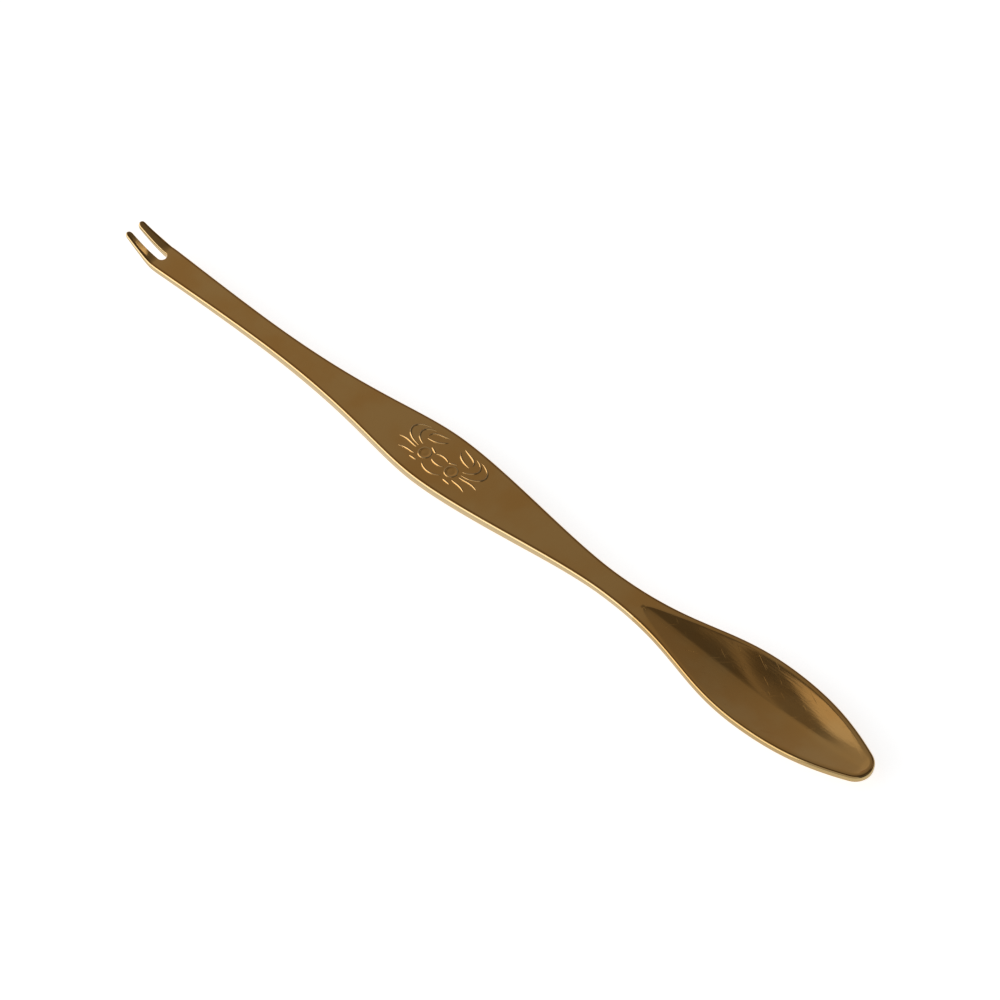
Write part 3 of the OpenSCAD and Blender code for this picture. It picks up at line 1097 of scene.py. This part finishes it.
@dataclass
class Surroundings:
    """Plain studio: a grey wall that darkens towards +X, dark and bright cards, and a pale floor.

    Attributes:
        wall_levels: Brightness of the wall towards the tines and towards the spoon.
        wall_reach: Where along X the wall has these levels, on a sphere of radius 1.
        floor_size: Side of the floor.
        floor_white: Colour of the floor.
        floor_glow: Light of its own that makes the floor white where the camera or the metal shows it.
        cards: Cards in front of the wall, each over the ones before it.
    """

    wall_levels: tuple[float, float] = (0.434, 0.1)
    wall_reach: tuple[float, float] = (-0.7, 0.06)
    floor_size: float = 40.0
    floor_white: float = 0.7
    floor_glow: float = 0.78
    cards: tuple[Card, ...] = (
        Card(0.095, ((TO_RIGHT, 0.0), (TO_SPOON, -0.5))),
        Card(0.16, ((TO_TINES, 0.27), (TO_SPOON, -0.5), (TO_LEFT, -0.22), (TO_RIGHT, 0.0))),
        Card(0.27, (((0.867, 0.499, 0.0), -0.32), ((-0.867, -0.499, 0.0), 0.27), (TO_RIGHT, 0.0)), 0.025),
        Card(0.15, ((TO_SPOON, 0.0), (TO_LEFT, 0.05), (TO_RIGHT, -0.5))),
        Card(0.64, (((-0.766, -0.643, 0.0), 0.465), ((0.505, -0.863, 0.0), -0.158)), 0.015),
        Card(0.6, ((DOWN, -0.8), (TO_RIGHT, 0.42), (TO_SPOON, 0.0)), 0.08),
    )

    def build(self) -> None:
        """Adds the world and the floor."""
        self.world()
        self.floor()

    def world(self) -> None:
        """Makes the world, whose brightness depends only on the direction."""
        world = bpy.data.worlds.new("studio")
        world.use_nodes = True
        wiring = Wiring(world.node_tree)
        wiring.tree.nodes.clear()
        way = wiring.node("ShaderNodeTexCoord", {}).outputs["Generated"]
        along = wiring.node("ShaderNodeSeparateXYZ", {"Vector": way}).outputs["X"]
        wall = {"Value": along, "From Min": self.wall_reach[0], "From Max": self.wall_reach[1]}
        wall |= {"To Min": self.wall_levels[0], "To Max": self.wall_levels[1]}
        level = wiring.node("ShaderNodeMapRange", wall).outputs["Result"]
        for card in self.cards:
            mask: object = 1.0
            for border, start in card.borders:
                inward = tuple(Vector(border).normalized())
                dot = wiring.node("ShaderNodeVectorMath", {0: way, 1: inward}, operation="DOT_PRODUCT")
                inside = wiring.ramp(dot.outputs["Value"], start - card.soft, start + card.soft)
                mask = wiring.math("MULTIPLY", mask, inside)
            level = wiring.blend(Mix.FLOAT, mask, level, card.level)
        background = wiring.node("ShaderNodeBackground", {"Color": (1.0, 1.0, 1.0, 1.0), "Strength": level})
        wiring.node("ShaderNodeOutputWorld", {"Surface": background.outputs["Background"]})
        bpy.context.scene.world = world

    def floor(self) -> None:
        """Adds the floor, which is white to the camera and to the metal and keeps the fork's shadow."""
        bm = bmesh.new()
        bmesh.ops.create_grid(bm, x_segments=1, y_segments=1, size=self.floor_size / 2)
        material = bpy.data.materials.new("pale_floor")
        material.use_nodes = True
        wiring = Wiring(material.node_tree)
        wiring.tree.nodes.clear()
        white = (self.floor_white, self.floor_white, self.floor_white, 1.0)
        paint = wiring.node("ShaderNodeBsdfDiffuse", {"Color": white}).outputs["BSDF"]
        path = wiring.node("ShaderNodeLightPath", {}).outputs
        seen = wiring.math("ADD", path["Is Camera Ray"], path["Is Glossy Ray"])
        seen = wiring.math("ADD", seen, path["Is Transmission Ray"], clamp=True)
        glow = wiring.node("ShaderNodeEmission", {"Strength": wiring.math("MULTIPLY", seen, self.floor_glow)})
        both = wiring.node("ShaderNodeAddShader", {0: paint, 1: glow.outputs["Emission"]})
        wiring.node("ShaderNodeOutputMaterial", {"Surface": both.outputs["Shader"]})
        floor = finish_mesh(bm, "floor", material)


@dataclass(frozen=True)
class Softbox:
    """Rectangular lamp that faces the fork.

    Attributes:
        name: Name of the lamp.
        turn_deg: Direction that it stands in, from +X towards +Y.
        height_deg: How high it stands.
        distance: Distance from the fork.
        size: Width and height.
        level: Brightness of its face.
    """

    name: str
    turn_deg: float
    height_deg: float
    distance: float
    size: tuple[float, float]
    level: float

    def build(self) -> None:
        """Adds the lamp."""
        data = bpy.data.lights.new(self.name, "AREA")
        data.shape = "RECTANGLE"
        data.size, data.size_y = self.size
        data.energy = self.level * math.pi * self.size[0] * self.size[1]
        lamp = bpy.data.objects.new(self.name, data)
        turn, height = math.radians(self.turn_deg), math.radians(self.height_deg)
        flat_share = math.cos(height)
        away = Vector((math.cos(turn) * flat_share, math.sin(turn) * flat_share, math.sin(height)))
        lamp.location = away * self.distance
        lamp.rotation_euler = (-away).to_track_quat("-Z", "Y").to_euler()
        lamp.visible_camera = False
        bpy.context.scene.collection.objects.link(lamp)


LAMPS = (
    Softbox("front_softbox", turn_deg=232.0, height_deg=19.0, distance=1.2, size=(2.2, 0.66), level=1.75),
    Softbox("back_softbox", turn_deg=86.0, height_deg=54.0, distance=1.2, size=(0.2, 0.16), level=1.0),
)


@dataclass
class PhotoView:
    """Camera at the photograph's place."""

    position: tuple[float, float, float] = (0.32969, -0.35592, 0.64226)
    target: tuple[float, float, float] = (0.00405, 0.000369, 0.00428)
    lens_mm: float = 143.86
    sensor_mm: float = 36.0
    clip_start: float = 0.01

    def build(self) -> None:
        """Adds the camera and makes it the scene's."""
        data = bpy.data.cameras.new("photo_view")
        data.lens = self.lens_mm
        data.sensor_width = self.sensor_mm
        data.clip_start = self.clip_start
        camera = bpy.data.objects.new("photo_view", data)
        camera.location = self.position
        aim = Vector(self.target) - Vector(self.position)
        camera.rotation_euler = aim.to_track_quat("-Z", "Y").to_euler()
        bpy.context.scene.collection.objects.link(camera)
        bpy.context.scene.camera = camera


def main() -> None:
    """Builds the pieces in order and places the camera and the lights."""
    logging.basicConfig(level=logging.INFO, format="%(name)s: %(message)s")
    bpy.context.scene.view_settings.view_transform = "Standard"
    sizes = ForkSizes.from_frame()
    LOG.info("sizes: %s", sizes)
    StripBody(sizes, Outline(sizes)).build(
        finish=MetalFinish("polished_metal"),
        bowl_finish=MetalFinish(
            "bright_polished_metal",
            # The bowl's painted shade line is darker and its painted highlight tint less pale.
            line=(0.14, 0.05, 0.008),
            highlight_colour=(0.46, 0.32, 0.14),
            roughness=0.1,
            grain=0.9,
            scratches=0.9,
            relief=6e-6,
        ),
    )
    CrabLines(sizes).build(
        MetalFinish(
            "raised_line_metal",
            # No painted shade line on the crab; its crests get a cream painted highlight tint.
            shade_line_strength=0.0,
            highlight_colour=(0.62, 0.43, 0.2),
            highlight_tint=0.8,
            roughness=0.18,
            relief=1e-6,
        )
    )
    PhotoView().build()
    Surroundings().build()
    for lamp in LAMPS:
        lamp.build()


if __name__ == "__main__":
    main()
